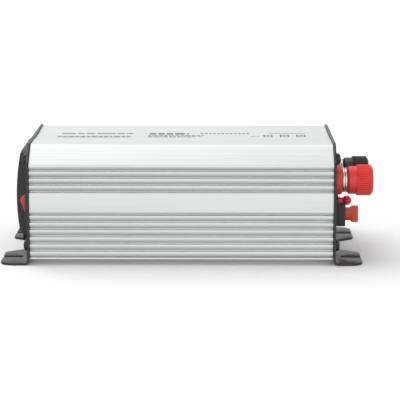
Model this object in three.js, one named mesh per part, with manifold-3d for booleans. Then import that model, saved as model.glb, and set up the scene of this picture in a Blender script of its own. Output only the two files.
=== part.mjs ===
// Portable DC to AC power inverter: two extruded aluminium half shells held between two bent
// steel end plates.  Millimetres, +Z up, +X from the mains end to the battery end, origin under
// the middle of the whole object, on the surface that it stands on.

import * as THREE from 'three';
import { mergeVertices } from 'three/addons/utils/BufferGeometryUtils.js';
import Module from 'manifold-3d';

const wasm = await Module();
wasm.setup();

// ---- Driving dimensions --------------------------------------------------------------------

const GAP = 0.3;                 // room left between pieces that touch or nest

const HOUSING_LENGTH = 195;      // both extrusions, along X
const HOUSING_CENTRE_X = -4;     // puts the middle of the overall length at X = 0
const HALF_WIDTH = 60;           // rib crests
const HOUSING_TOP = 76.5;
const HOUSING_BOTTOM = 3.8;
const WALL = 2;                  // behind the grooves
const GROOVE_DEPTH = 2;
const RIB_FACE = 3.1;            // height of one rib, rounded top included
const RIB_ROUND = 0.8;
const UPPER_PITCH = 4.57;
const LOWER_PITCH = 4.72;
const BAND_TOP = 47.4;           // plain band between the two groups of ribs
const SEAM = 33.45;              // where the two shells meet
const FIRST_LOWER_CREST = 32.6;
const SHOULDER_TOP_Y = 45.1;
const SHOULDER_LOW_Z = 65.3;
const TOP_CHANNEL_HALF = 20;     // shallow channel along the top, for the printed panel
const TOP_CHANNEL_DEPTH = 0.5;

const SHEET = 1.6;               // end plate thickness
const PLATE_MARGIN = 1;          // how far the plates stand proud of the shells
const BEND_RADIUS = 2.2;
const FOOT_LENGTH = 17.7;
const FOOT_ROOT_Y = 12;
const FOOT_TIP_Y = 25;
const FOOT_CORNER = 8;
const SLOT_CENTRE_Y = 40;
const SLOT_WIDTH = 5.5;
const SLOT_START = 4.2;          // from the plate's outer face

const UPPER_SCREW = { y: 48, z: 67.7 };
const LOWER_SCREW = { y: 50, z: 11.2 };
const SCREW_SHANK = 1.9;         // M4 pan head
const PORT_RADIUS = 3.9;         // round ports that the plate screws bite into

const TERMINAL_Z = 51;
const RED_Y = -30;
const BLACK_Y = 6;
const STUD_RADIUS = 2.9;         // M6, 1 mm pitch
const BREAKER = { y: -13, z: 34.3 };
const FUSE = { y: 0, z: 22.8 };
const FAN = { y: 34, z: 42, size: 40, depth: 10, bore: 18.4 };

const SOCKET_Z = 40;
const RECESS_RADIUS = 19.5;
const RECESS_DEPTH = 17.5;
const FASCIA_HALF = 32;
const FASCIA_CREST = 9.1;
const PIN_OFFSET = 9.5;
const SWITCH = { y: 45, z: 37.5 };      // y in the mains end's own frame
const USB = { y: -45, z: 50 };
const LED_Z = [34, 26];

const BOARD_TOP = 16.9;
const BOARD = { x0: -78, x1: 66, halfWidth: 55.4, thickness: 1.6 };

// ---- Solids ----------------------------------------------------------------------------------

function toSolid(geometry) {
  geometry.deleteAttribute('normal');
  geometry.deleteAttribute('uv');
  const merged = mergeVertices(geometry, 1e-4);
  const corners = merged.index.array;
  const triangles = [];
  for (let i = 0; i < corners.length; i += 3) {
    const [a, b, c] = corners.slice(i, i + 3);
    if (a !== b && b !== c && c !== a) triangles.push(a, b, c);
  }
  const vertProperties = Float32Array.from(merged.attributes.position.array);
  const triVerts = Uint32Array.from(triangles);
  return new wasm.Manifold(new wasm.Mesh({ numProp: 3, vertProperties, triVerts }));
}

function toGeometry(solid) {
  const mesh = solid.getMesh();
  const geometry = new THREE.BufferGeometry();
  geometry.setAttribute('position', new THREE.BufferAttribute(mesh.vertProperties, 3));
  geometry.setIndex(new THREE.BufferAttribute(mesh.triVerts, 1));
  geometry.computeVertexNormals();
  return geometry;
}

function join(...solids) {
  return solids.reduce((whole, next) => whole.add(next));
}

function cut(solid, ...tools) {
  return tools.reduce((left, tool) => left.subtract(tool), solid);
}

// A box between two planes across each axis, given in either order.
function block(...spans) {
  const sizes = spans.map(([from, to]) => Math.abs(to - from));
  const middles = spans.map(([from, to]) => (from + to) / 2);
  const geometry = new THREE.BoxGeometry(...sizes);
  geometry.translate(...middles);
  return toSolid(geometry);
}

// An outline drawn in one plane and pushed along the third axis, which run from `from` to `to`.
function prism(shape, axis, from, to, curveSegments = 6) {
  const settings = { depth: to - from, bevelEnabled: false, curveSegments };
  const geometry = new THREE.ExtrudeGeometry(shape, settings);
  const [X, Y, Z] = [[1, 0, 0], [0, 1, 0], [0, 0, 1]].map((v) => new THREE.Vector3(...v));
  const frames = { x: [Y, Z, X], y: [X, Z, Y.clone().negate()], z: [X, Y, Z] };
  const start = { x: [from, 0, 0], y: [0, to, 0], z: [0, 0, from] }[axis];
  geometry.applyMatrix4(new THREE.Matrix4().makeBasis(...frames[axis]));
  geometry.translate(...start);
  return toSolid(geometry);
}

// Sides enough for a round piece of this size.
function facets(radius) {
  if (radius > 15) return 28;
  if (radius > 7) return 20;
  return radius > 2.5 ? 12 : 8;
}

// A turned piece on an axis along X.  Each profile point is [radius, x], from the inner end out.
function turned(profile, y = 0, z = 0, segments = facets(Math.max(...profile.map(([r]) => r)))) {
  const points = profile.map(([radius, x]) => new THREE.Vector2(radius, x));
  const geometry = new THREE.LatheGeometry(points, segments);
  geometry.rotateZ(-Math.PI / 2);
  geometry.translate(0, y, z);
  return toSolid(geometry);
}

function rod(radius, from, to, y = 0, z = 0, segments = facets(radius)) {
  return turned([[0, from], [radius, from], [radius, to], [0, to]], y, z, segments);
}

function tube(outer, inner, from, to, y = 0, z = 0, segments = facets(outer)) {
  const profile = [[inner, from], [outer, from], [outer, to], [inner, to], [inner, from]];
  return turned(profile, y, z, segments);
}

function outline(points) {
  return new THREE.Shape(points.map(([u, v]) => new THREE.Vector2(u, v)));
}

function roundedOutline(u, v, width, height, radius) {
  const shape = new THREE.Shape();
  const [right, top] = [width / 2 - radius, height / 2 - radius];
  const corners = [[right, -top], [right, top], [-right, top], [-right, -top]];
  corners.forEach(([cu, cv], quarter) => {
    const start = (quarter - 1) * Math.PI / 2;
    shape.absarc(u + cu, v + cv, radius, start, start + Math.PI / 2);
  });
  shape.closePath();
  return shape;
}

// ---- Scene graph -----------------------------------------------------------------------------

const inverter = new THREE.Group();
const mainsEnd = new THREE.Group();
const batteryEnd = new THREE.Group();
inverter.add(mainsEnd, batteryEnd);

// Both ends are built looking out of the housing: their own +X points away from the plate's
// outer face, so the mains end is turned half way round.
const PLATE_FACE = HOUSING_LENGTH / 2 + GAP + SHEET;
mainsEnd.position.x = HOUSING_CENTRE_X - PLATE_FACE;
mainsEnd.rotation.z = Math.PI;
batteryEnd.position.x = HOUSING_CENTRE_X + PLATE_FACE;

function addPiece(group, name, solid, [color, metalness, roughness], at = [0, 0, 0]) {
  const material = new THREE.MeshStandardMaterial({ color, metalness, roughness });
  const mesh = new THREE.Mesh(toGeometry(solid), material);
  mesh.name = name;
  mesh.position.set(...at);
  group.add(mesh);
  return mesh;
}

const ALUMINIUM = [0xdcdfde, 0.9, 0.45];
const BLACK_STEEL = [0x1c1d1e, 0.5, 0.55];
const BLACK_PLASTIC = [0x222426, 0, 0.45];
const RED_PLASTIC = [0xd3302c, 0, 0.35];
const NICKEL = [0xc9c6bd, 1, 0.25];
const BRASS = [0xc5a04e, 1, 0.3];

// ---- Extruded shells -------------------------------------------------------------------------

// The sloped shoulder, moved outwards by `distance`, meets the top and side lines moved with it.
function shoulder(distance) {
  const run = HALF_WIDTH - SHOULDER_TOP_Y;
  const rise = HOUSING_TOP - SHOULDER_LOW_Z;
  const slant = Math.hypot(run, rise);
  const [ny, nz] = [rise / slant, run / slant];
  const reach = ny * SHOULDER_TOP_Y + nz * HOUSING_TOP + distance;
  const top = HOUSING_TOP + distance;
  const side = HALF_WIDTH + distance;
  return { y: (reach - nz * top) / ny, top, side, z: (reach - ny * side) / nz };
}

// One rib seen in section, from the foot of the groove above it to its own lower corner.
function rib(crest, height = RIB_FACE) {
  const root = HALF_WIDTH - GROOVE_DEPTH;
  const nose = HALF_WIDTH - RIB_ROUND;
  const slope = RIB_ROUND * (1 - Math.SQRT1_2);
  return [[root, crest], [nose, crest], [HALF_WIDTH - slope, crest - slope],
    [HALF_WIDTH, crest - RIB_ROUND], [HALF_WIDTH, crest - height], [root, crest - height]];
}

function mirrored(half) {
  return outline([...half, ...half.map(([y, z]) => [-y, z]).reverse()]);
}

function screwPort({ y, z }) {
  const x = HOUSING_LENGTH / 2;
  return tube(PORT_RADIUS, SCREW_SHANK + GAP, -x, x, y, z);
}

function shell(half, screw, ...additions) {
  const x = HOUSING_LENGTH / 2;
  let body = join(prism(mirrored(half), 'x', -x, x), ...additions);
  for (const y of [screw.y, -screw.y]) {
    const bore = rod(SCREW_SHANK + GAP, -x - 1, x + 1, y, screw.z, facets(PORT_RADIUS));
    body = join(cut(body, bore), screwPort({ y, z: screw.z }));
  }
  return body;
}

const INNER_FACE = HALF_WIDTH - GROOVE_DEPTH - WALL;
const shoulderOut = shoulder(0);
const shoulderIn = shoulder(-2.4);

const upperHalf = [
  [TOP_CHANNEL_HALF, HOUSING_TOP - TOP_CHANNEL_DEPTH],
  [TOP_CHANNEL_HALF, HOUSING_TOP],
  [shoulderOut.y, HOUSING_TOP],
  [HALF_WIDTH, SHOULDER_LOW_Z],
  [HALF_WIDTH, BAND_TOP + 3 * UPPER_PITCH + 1.2],
  [HALF_WIDTH - GROOVE_DEPTH, BAND_TOP + 3 * UPPER_PITCH + 1.2],
  ...[3, 2, 1].flatMap((step) => rib(BAND_TOP + step * UPPER_PITCH)),
  ...rib(BAND_TOP, BAND_TOP - SEAM - GAP / 2),
  [INNER_FACE, SEAM + GAP / 2],
  [INNER_FACE, shoulderIn.z - 0.8],
  [shoulderIn.y, HOUSING_TOP - 2.7],
];

const floorTop = HOUSING_BOTTOM + 2.4;
const lowerHalf = [
  [INNER_FACE, floorTop],
  [INNER_FACE, SEAM - 4],
  [INNER_FACE - 1.5, SEAM - 2.5],
  [INNER_FACE - 1.5, SEAM + 3.6],
  [INNER_FACE - GAP, SEAM + 3.6],
  [INNER_FACE - GAP, SEAM - GAP / 2],
  [HALF_WIDTH - GROOVE_DEPTH, SEAM - GAP / 2],
  ...[0, 1, 2, 3, 4, 5].flatMap((step) => rib(FIRST_LOWER_CREST - step * LOWER_PITCH)),
  [HALF_WIDTH - GROOVE_DEPTH, HOUSING_BOTTOM + 0.8],
  [HALF_WIDTH - RIB_ROUND, HOUSING_BOTTOM + 0.8],
  [HALF_WIDTH - RIB_ROUND, HOUSING_BOTTOM],
];

const halfLength = HOUSING_LENGTH / 2;
const webs = [LOWER_SCREW.y, -LOWER_SCREW.y].map((y) => block(
  [-halfLength, halfLength], [y - 1.2, y + 1.2], [floorTop - 1, LOWER_SCREW.z - 3]));
const rails = [1, -1].flatMap((side) => [BOARD_TOP - 3.4, BOARD_TOP + GAP].map((z) => block(
  [-halfLength, halfLength], [side * (INNER_FACE + 0.5), side * (INNER_FACE - 3.5)],
  [z, z + 1.5])));

const housingAt = [HOUSING_CENTRE_X, 0, 0];
addPiece(inverter, 'top_shell', shell(upperHalf, UPPER_SCREW), ALUMINIUM, housingAt);
addPiece(inverter, 'bottom_shell', shell(lowerHalf, LOWER_SCREW, ...webs, ...rails),
  ALUMINIUM, housingAt);

// ---- End plates with bent feet ---------------------------------------------------------------

function footPlan(side) {
  const plan = new THREE.Shape();
  const outer = HALF_WIDTH + PLATE_MARGIN;
  const tip = FOOT_LENGTH;
  const bevel = 1.5;
  plan.moveTo(-SHEET, FOOT_ROOT_Y);
  plan.lineTo(0, FOOT_ROOT_Y);
  plan.lineTo(tip - bevel, FOOT_TIP_Y - bevel * 0.6);
  plan.lineTo(tip, FOOT_TIP_Y + bevel);
  plan.lineTo(tip, outer - FOOT_CORNER);
  plan.absarc(tip - FOOT_CORNER, outer - FOOT_CORNER, FOOT_CORNER, 0, Math.PI / 2);
  plan.lineTo(-SHEET, outer);
  plan.closePath();
  const solid = prism(plan, 'z', -1, 10, 5);
  return side > 0 ? solid : solid.mirror([0, 1, 0]);
}

// The sheet seen along Y: down the plate, round the bend and out along the foot.
function footStrip() {
  const strip = new THREE.Shape();
  const bendTop = SHEET + BEND_RADIUS;
  strip.moveTo(-SHEET, bendTop + 1);
  strip.lineTo(-SHEET, bendTop);
  strip.absarc(BEND_RADIUS, bendTop, BEND_RADIUS + SHEET, Math.PI, 1.5 * Math.PI);
  strip.lineTo(FOOT_LENGTH + 1, 0);
  strip.lineTo(FOOT_LENGTH + 1, SHEET);
  strip.lineTo(BEND_RADIUS, SHEET);
  strip.absarc(BEND_RADIUS, bendTop, BEND_RADIUS, 1.5 * Math.PI, Math.PI, true);
  strip.lineTo(0, bendTop + 1);
  strip.closePath();
  const width = HALF_WIDTH + PLATE_MARGIN;
  return prism(strip, 'y', -width, width, 4);
}

function footSlot(side) {
  const radius = SLOT_WIDTH / 2;
  const slot = new THREE.Shape();
  slot.moveTo(FOOT_LENGTH + 1, side * SLOT_CENTRE_Y - radius);
  slot.lineTo(FOOT_LENGTH + 1, side * SLOT_CENTRE_Y + radius);
  slot.absarc(SLOT_START + radius, side * SLOT_CENTRE_Y, radius, 0.5 * Math.PI, 1.5 * Math.PI);
  slot.closePath();
  return prism(slot, 'z', -1, BEND_RADIUS, 6);
}

function endPlate(...holes) {
  const edge = shoulder(PLATE_MARGIN);
  const bendTop = SHEET + BEND_RADIUS;
  const relief = HOUSING_BOTTOM - PLATE_MARGIN;
  const half = [
    [FOOT_ROOT_Y, relief], [FOOT_ROOT_Y, bendTop], [edge.side, bendTop],
    [edge.side, edge.z], [edge.y, edge.top],
  ];
  const sheet = prism(mirrored(half), 'x', -SHEET, 0);
  const feet = footStrip().intersect(join(footPlan(1), footPlan(-1)));
  const screwHoles = [UPPER_SCREW, LOWER_SCREW].flatMap(({ y, z }) => (
    [y, -y].map((across) => rod(SCREW_SHANK + GAP, -SHEET - 1, 1, across, z))));
  return cut(join(sheet, feet), footSlot(1), footSlot(-1), ...screwHoles, ...holes);
}

function panHeadScrew(shankRadius, headRadius, headHeight, length) {
  const crown = headHeight * 0.55;
  const profile = [
    [0, -length], [shankRadius, -length], [shankRadius, GAP], [headRadius, GAP],
    [headRadius, GAP + crown], [headRadius * 0.6, GAP + headHeight], [0, GAP + headHeight],
  ];
  return turned(profile);
}

function addPlateScrews(group, prefix) {
  const places = [UPPER_SCREW, LOWER_SCREW].flatMap(({ y, z }) => [[-y, z], [y, z]]);
  places.forEach(([y, z], index) => {
    const screw = panHeadScrew(SCREW_SHANK, 3.75, 2.8, 12);
    addPiece(group, `${prefix}_plate_screw_${index + 1}`, screw, BLACK_STEEL, [0, y, z]);
  });
}

// ---- Mains end: socket -----------------------------------------------------------------------

const CUP_RADIUS = RECESS_RADIUS + 2;
const RECESS_FLOOR = FASCIA_CREST - RECESS_DEPTH;
const FLOOR_WALL = 2.4;
const CHAMBER = 2.6;             // room behind the recess floor for the shutter
const PIN_HOLE = 3;

// Channels above and below the recess that the earth clips lie in.
function earthSlots(from, to) {
  return [1, -1].map((side) => block([from, to], [-3.4, 3.4],
    [SOCKET_Z + side * (RECESS_RADIUS - 2.6), SOCKET_Z + side * (RECESS_RADIUS + 0.8)]));
}

function socketFascia() {
  const frontRadius = 147;
  const [low, high] = [16.6, 69.8];
  const [start, end] = [low, high].map((z) => Math.asin((z - SOCKET_Z) / frontRadius));
  const front = new THREE.Shape();
  front.moveTo(GAP, low - 5.5);
  front.lineTo(5.4, low - 5.5);
  front.lineTo(5.4, low);
  front.absarc(FASCIA_CREST - frontRadius, SOCKET_Z, frontRadius, start, end);
  front.lineTo(GAP, high);
  front.closePath();
  const face = prism(front, 'y', -FASCIA_HALF, FASCIA_HALF, 5);
  const middle = (high + low - 5.5) / 2;
  const cornered = roundedOutline(0, middle, 2 * FASCIA_HALF, high - low + 5.5, 4);
  const body = face.intersect(prism(cornered, 'x', -1, FASCIA_CREST + 1, 3));
  const back = RECESS_FLOOR - FLOOR_WALL;
  const cup = rod(CUP_RADIUS, back - CHAMBER, GAP + 1, 0, SOCKET_Z);
  const recess = rod(RECESS_RADIUS, RECESS_FLOOR, FASCIA_CREST + 1, 0, SOCKET_Z);
  const chamber = rod(RECESS_RADIUS - 1, back - CHAMBER - 1, back, 0, SOCKET_Z);
  const pinHoles = [1, -1].map((side) => (
    rod(PIN_HOLE, back - 1, RECESS_FLOOR + 1, side * PIN_OFFSET, SOCKET_Z)));
  const clipSlots = earthSlots(back - CHAMBER - 1, FASCIA_CREST - 4);
  const screwHoles = FASCIA_SCREWS.map(([y, z]) => (
    join(rod(1.6, -3, FASCIA_CREST, y, z), rod(3.4, 4.6, FASCIA_CREST + 1, y, z))));
  return cut(join(body, cup), recess, chamber, ...pinHoles, ...clipSlots, ...screwHoles);
}

const FASCIA_SCREWS = [[-26.5, 63], [26.5, 22.4]];
const shutterX = [RECESS_FLOOR - FLOOR_WALL - GAP - 1.5, RECESS_FLOOR - FLOOR_WALL - GAP];
const socketBackX = RECESS_FLOOR - FLOOR_WALL - CHAMBER - GAP;
const SHUTTER_PEG = 1.4;

// A turning blind behind the two pin holes: a plug's pins swing its arms aside together.
function socketShutter() {
  const arms = block(shutterX, [-14, 14], [SOCKET_Z - 3.8, SOCKET_Z + 3.8]);
  return cut(arms, rod(SHUTTER_PEG + GAP, shutterX[0] - 1, shutterX[1] + 1, 0, SOCKET_Z));
}

// The rear moulding of the socket, bored for the two pin contacts, with the shutter's peg.
function socketBack() {
  const cover = rod(CUP_RADIUS, socketBackX - 4, socketBackX, 0, SOCKET_Z);
  const tower = block([socketBackX - 18, socketBackX - 3], [-15, 15], [SOCKET_Z - 7, SOCKET_Z + 7]);
  const bores = [1, -1].map((side) => (
    rod(3.6 + GAP, socketBackX - 16, socketBackX + 1, side * PIN_OFFSET, SOCKET_Z)));
  const tails = [1, -1].map((side) => (
    rod(1.6, socketBackX - 19, socketBackX - 15, side * PIN_OFFSET, SOCKET_Z)));
  const clipSlots = earthSlots(socketBackX - 5, socketBackX + 1);
  const peg = rod(SHUTTER_PEG, socketBackX - 1, shutterX[1] - GAP, 0, SOCKET_Z);
  return join(cut(join(cover, tower), ...bores, ...tails, ...clipSlots), peg);
}

function pinContact() {
  const sleeve = tube(3.6, 2.5, socketBackX - 15.5, socketBackX - GAP);
  const foot = rod(3.6, socketBackX - 15.7, socketBackX - 14.5);
  const tail = rod(1.2, socketBackX - 24, socketBackX - 15);
  return join(sleeve, foot, tail);
}

// Sprung earth clips at the top and bottom of the recess, one strip bent round the rear moulding.
function earthStrap() {
  const [tip, bend] = [FASCIA_CREST - 5.5, socketBackX - 22.5];
  const thickness = 0.9;
  const reach = RECESS_RADIUS - 0.4;
  const arms = [1, -1].map((side) => block([bend, tip], [-2.6, 2.6],
    [SOCKET_Z + side * reach, SOCKET_Z + side * (reach - thickness)]));
  const lips = [1, -1].map((side) => block([tip - 5, tip - 3.8], [-2.6, 2.6],
    [SOCKET_Z + side * (reach - 0.2), SOCKET_Z + side * (reach - 2.2)]));
  const bridge = block([bend - thickness, bend + 0.2], [-2.6, 2.6],
    [SOCKET_Z - reach, SOCKET_Z + reach]);
  return join(...arms, ...lips, bridge);
}

addPiece(mainsEnd, 'socket_fascia', socketFascia(), [0x2b2d2f, 0, 0.5]);
addPiece(mainsEnd, 'socket_shutter', socketShutter(), [0xd9d6cd, 0, 0.5]);
addPiece(mainsEnd, 'socket_back', socketBack(), BLACK_PLASTIC);
addPiece(mainsEnd, 'live_contact', pinContact(), BRASS, [0, PIN_OFFSET, SOCKET_Z]);
addPiece(mainsEnd, 'neutral_contact', pinContact(), BRASS, [0, -PIN_OFFSET, SOCKET_Z]);
addPiece(mainsEnd, 'earth_strap', earthStrap(), NICKEL);
FASCIA_SCREWS.forEach(([y, z], index) => {
  const screw = panHeadScrew(1.3, 2.9, 2, 10);
  addPiece(mainsEnd, `fascia_screw_${index + 1}`, screw, BLACK_STEEL, [4.6, y, z]);
});

// ---- Mains end: rocker switch, charging port and indicator lamps -------------------------------

const ROCKER_RADIUS = 6.3;
const ROCKER_PIVOT = -0.2;
const ROCKER_TILT = THREE.MathUtils.degToRad(20);
const switchAt = [ROCKER_PIVOT, SWITCH.y, SWITCH.z];

function switchBezel() {
  const frame = prism(roundedOutline(0, 0, 10.6, 15.2, 1), 'x', GAP - ROCKER_PIVOT,
    1.9 - ROCKER_PIVOT, 2);
  const body = block([-15, GAP - ROCKER_PIVOT + 0.5], [-4.5, 4.5], [-7.2, 7.2]);
  const well = block([-3.2, 4], [-4, 4], [-6.6, 6.6]);
  const pivots = prism(roundedOutline(0, 0, 2.6, 2.6, 1.29), 'y', -4.3, 4.3, 3);
  return cut(join(frame, body), well, pivots);
}

// Two finger faces meeting in a shallow valley, with ends rounded about the pivot.
function rocker() {
  const side = new THREE.Shape();
  const [tip, under] = [THREE.MathUtils.degToRad(50), THREE.MathUtils.degToRad(95)];
  side.moveTo(3.8, 0);
  side.lineTo(ROCKER_RADIUS * Math.cos(tip), ROCKER_RADIUS * Math.sin(tip));
  side.absarc(0, 0, ROCKER_RADIUS, tip, under);
  side.lineTo(-1.6, 2);
  side.lineTo(-1.6, -2);
  side.lineTo(ROCKER_RADIUS * Math.cos(under), -ROCKER_RADIUS * Math.sin(under));
  side.absarc(0, 0, ROCKER_RADIUS, -under, -tip);
  side.closePath();
  const paddle = prism(side, 'y', -3.65, 3.65, 5);
  return join(paddle, prism(roundedOutline(0, 0, 1.8, 1.8, 0.89), 'y', -4.1, 4.1, 2));
}

addPiece(mainsEnd, 'switch_bezel', switchBezel(), BLACK_PLASTIC, switchAt);
const rockerMesh = addPiece(mainsEnd, 'switch_rocker', rocker(), [0xc02f2f, 0, 0.35], switchAt);
rockerMesh.rotation.y = ROCKER_TILT;

function usbShell() {
  const outside = block([-13, 1.2], [-3.6, 3.6], [-7.3, 7.3]);
  const hollow = block([-11.5, 2], [-2.7, 2.7], [-6.4, 6.4]);
  return cut(outside, hollow);
}

const usbAt = [0, USB.y, USB.z];
addPiece(mainsEnd, 'usb_shell', usbShell(), NICKEL, usbAt);
addPiece(mainsEnd, 'usb_tongue', block([-11.2, -0.6], [-2.3, -0.5], [-5.6, 5.6]),
  [0xe8e8e4, 0, 0.4], usbAt);

function ledLens() {
  return turned([[0, -6], [1.5, -6], [1.5, 1], [1.1, 1.8], [0, 2.1]]);
}

addPiece(mainsEnd, 'power_led', ledLens(), [0x47c25a, 0, 0.2], [0, USB.y, LED_Z[0]]);
addPiece(mainsEnd, 'fault_led', ledLens(), [0xd0352b, 0, 0.2], [0, USB.y, LED_Z[1]]);

const mainsHoles = [
  rod(CUP_RADIUS + GAP, -SHEET - 1, 1, 0, SOCKET_Z),
  block([-SHEET - 1, 1], [SWITCH.y - 4.8, SWITCH.y + 4.8], [SWITCH.z - 7.5, SWITCH.z + 7.5]),
  block([-SHEET - 1, 1], [USB.y - 3.9, USB.y + 3.9], [USB.z - 7.6, USB.z + 7.6]),
  ...LED_Z.map((z) => rod(1.9, -SHEET - 1, 1, USB.y, z)),
  ...FASCIA_SCREWS.map(([y, z]) => rod(1.6, -SHEET - 1, 1, y, z)),
];
addPiece(mainsEnd, 'ac_end_plate', endPlate(...mainsHoles), BLACK_STEEL);
addPlateScrews(mainsEnd, 'ac');

// ---- Battery end: binding posts ----------------------------------------------------------------

const BASE_RADIUS = 9.6;
const COLLAR_RADIUS = 8.1;
const BORE = STUD_RADIUS + 0.4;
const COLLAR = [5.7, 6.9];
const WASHER = [7.2, 8.3];
const KNOB = { back: 8.6, step: 14.5, rim: 24.2, tip: 25.7, neck: 9.1, cap: 10.15 };

function terminalBase() {
  return turned([
    [BORE, -3], [4.7, -3], [4.7, GAP], [BASE_RADIUS, GAP], [BASE_RADIUS, 4.5],
    [BASE_RADIUS - 0.9, 5.4], [BORE, 5.4], [BORE, -3],
  ]);
}

function terminalStud() {
  const shaft = rod(STUD_RADIUS, -16, 21.5);
  const collar = rod(COLLAR_RADIUS, ...COLLAR);
  const nut = rod(5.6, -7, -3.3, 0, 0, 6);
  return join(shaft, collar, nut);
}

function terminalWasher() {
  return tube(COLLAR_RADIUS, BORE, ...WASHER);
}

function terminalKnob() {
  const { back, step, rim, tip, neck, cap } = KNOB;
  return turned([
    [BORE, back], [neck - 1, back], [neck, back + 0.9], [neck, step], [cap, step],
    [cap, rim], [cap - 1.6, tip - 0.5], [cap - 4.5, tip], [0, tip],
    [0, tip - 2.6], [BORE, tip - 2.6], [BORE, back],
  ]);
}

const BLACK_KNOB = [0x2a2b2c, 0, 0.4];
for (const [prefix, y, finish] of [['red', RED_Y, RED_PLASTIC], ['black', BLACK_Y, BLACK_KNOB]]) {
  const at = [0, y, TERMINAL_Z];
  addPiece(batteryEnd, `${prefix}_terminal_base`, terminalBase(), finish, at);
  addPiece(batteryEnd, `${prefix}_terminal_stud`, terminalStud(), NICKEL, at);
  addPiece(batteryEnd, `${prefix}_terminal_washer`, terminalWasher(), NICKEL, at);
  addPiece(batteryEnd, `${prefix}_terminal_knob`, terminalKnob(), finish, at);
}

// ---- Battery end: breaker reset button, fuse and fan --------------------------------------------

const breakerAt = [0, BREAKER.y, BREAKER.z];

function breakerBody() {
  const can = block([-22, -SHEET - GAP], [-6.5, 6.5], [-5.5, 5.5]);
  const bushing = rod(4.2, -SHEET - GAP - 0.5, 4.2);
  return cut(join(can, bushing), rod(2.7, -12, 5));
}

function resetButton() {
  return turned([
    [0, -8], [2.3, -8], [2.3, 5.4], [1.9, 6], [1.9, 7.2], [2.6, 8], [3.15, 9.4], [3.15, 10.5],
    [2.6, 11.9], [1.5, 12.8], [0, 13.1],
  ]);
}

addPiece(batteryEnd, 'breaker_body', breakerBody(), BLACK_PLASTIC, breakerAt);
addPiece(batteryEnd, 'breaker_nut', cut(rod(6.3, GAP, 2.6, 0, 0, 6), rod(4.5, 0, 3)),
  NICKEL, breakerAt);
addPiece(batteryEnd, 'reset_button', resetButton(), [0xc8203a, 0, 0.3], breakerAt);

const FUSE_HEAD = { height: 10.9, depth: 3.6, out: 18.7 };
const HOLDER = { out: 9.9, height: 16, halfWidth: 5 };
const BLADE = { offset: 2.3, width: 2.2, thickness: 0.8 };
const FUSE_WAIST = 8.4;
const fuseAt = [0, FUSE.y, FUSE.z];

function fuseHolder() {
  const { out, height, halfWidth } = HOLDER;
  const nose = prism(roundedOutline(0, 0, 2 * halfWidth, height, 1.6), 'x', GAP, out, 3);
  const body = block([-16, GAP + 0.5], [-halfWidth + 0.6, halfWidth - 0.6], [-7.4, 7.4]);
  const reach = FUSE_WAIST / 2 + 0.4;
  const mouth = block([out - 4.6, out + 1], [-2.3, 2.3], [-reach, reach]);
  const slit = BLADE.width / 2 + GAP;
  const bladeSlots = [1, -1].map((side) => block([-10, out], [-0.8, 0.8],
    [side * BLADE.offset - slit, side * BLADE.offset + slit]));
  return cut(join(nose, body), mouth, ...bladeSlots);
}

// A small blade fuse: a wide head to pull on, a narrower body and two tinned blades.
function fuseBody() {
  const { height, depth, out } = FUSE_HEAD;
  const waist = FUSE_WAIST / 2;
  const start = HOLDER.out - 3.8;
  const neck = HOLDER.out + 3.4;
  const side = outline([
    [start, -waist], [neck, -waist], [neck + 1.2, -height / 2], [out, -height / 2],
    [out, height / 2], [neck + 1.2, height / 2], [neck, waist], [start, waist],
  ]);
  const body = prism(side, 'y', -depth / 2, depth / 2);
  const hollow = block([start - 1, out - 1.6], [-0.9, 0.9], [0.5 - waist, waist - 0.5]);
  return cut(body, hollow);
}

function fuseLink() {
  const half = BLADE.thickness / 2;
  const root = HOLDER.out + 5.6;
  const blades = [1, -1].map((side) => block([-7, root], [-half, half],
    [side * BLADE.offset - BLADE.width / 2, side * BLADE.offset + BLADE.width / 2]));
  const bridge = block([root - 1.4, root], [-half, half], [-BLADE.offset, BLADE.offset]);
  return join(...blades, bridge);
}

addPiece(batteryEnd, 'fuse_holder', fuseHolder(), BLACK_PLASTIC, fuseAt);
addPiece(batteryEnd, 'fuse_body', fuseBody(), [0xd9481c, 0, 0.25], fuseAt);
addPiece(batteryEnd, 'fuse_link', fuseLink(), NICKEL, fuseAt);

const fanAt = [0, FAN.y, FAN.z];
const fanBack = -SHEET - GAP - FAN.depth;
const FAN_SCREW = 16;
const fanCorners = [[-1, -1], [1, -1], [1, 1], [-1, 1]].map(([y, z]) => [y * FAN_SCREW, z * FAN_SCREW]);

function fanFrame() {
  const frame = prism(roundedOutline(0, 0, FAN.size, FAN.size, 2.5), 'x', fanBack,
    -SHEET - GAP, 3);
  const throat = rod(FAN.bore, fanBack + 1.4, 0);
  const arches = cut(rod(FAN.bore, fanBack - 1, fanBack + 2),
    rod(8, fanBack - 2, fanBack + 3),
    block([fanBack - 2, fanBack + 3], [-20, 20], [-1.2, 1.2]),
    block([fanBack - 2, fanBack + 3], [-1.2, 1.2], [-20, 20]));
  const holes = fanCorners.map(([y, z]) => rod(1.7, fanBack - 1, 0, y, z));
  const bearing = rod(1.2, fanBack - 1, 0);
  return cut(frame, throat, arches, bearing, ...holes);
}

function fanRotor() {
  const [back, front] = [fanBack + 2, -SHEET - GAP - 0.9];
  const hub = rod(7.6, back, front);
  const shaft = rod(0.8, fanBack + 0.3, back + 1);
  const blades = Array.from({ length: 7 }, (_, index) => {
    const blade = new THREE.BoxGeometry(8.4, 0.9, 10.8);
    blade.rotateZ(THREE.MathUtils.degToRad(48));
    blade.translate((back + front) / 2, 0, 12.2);
    blade.rotateX(index * 2 * Math.PI / 7);
    return toSolid(blade);
  });
  const sweep = rod(FAN.bore - 0.8, back, front);
  return join(hub, shaft, ...blades.map((blade) => blade.intersect(sweep)));
}

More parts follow.
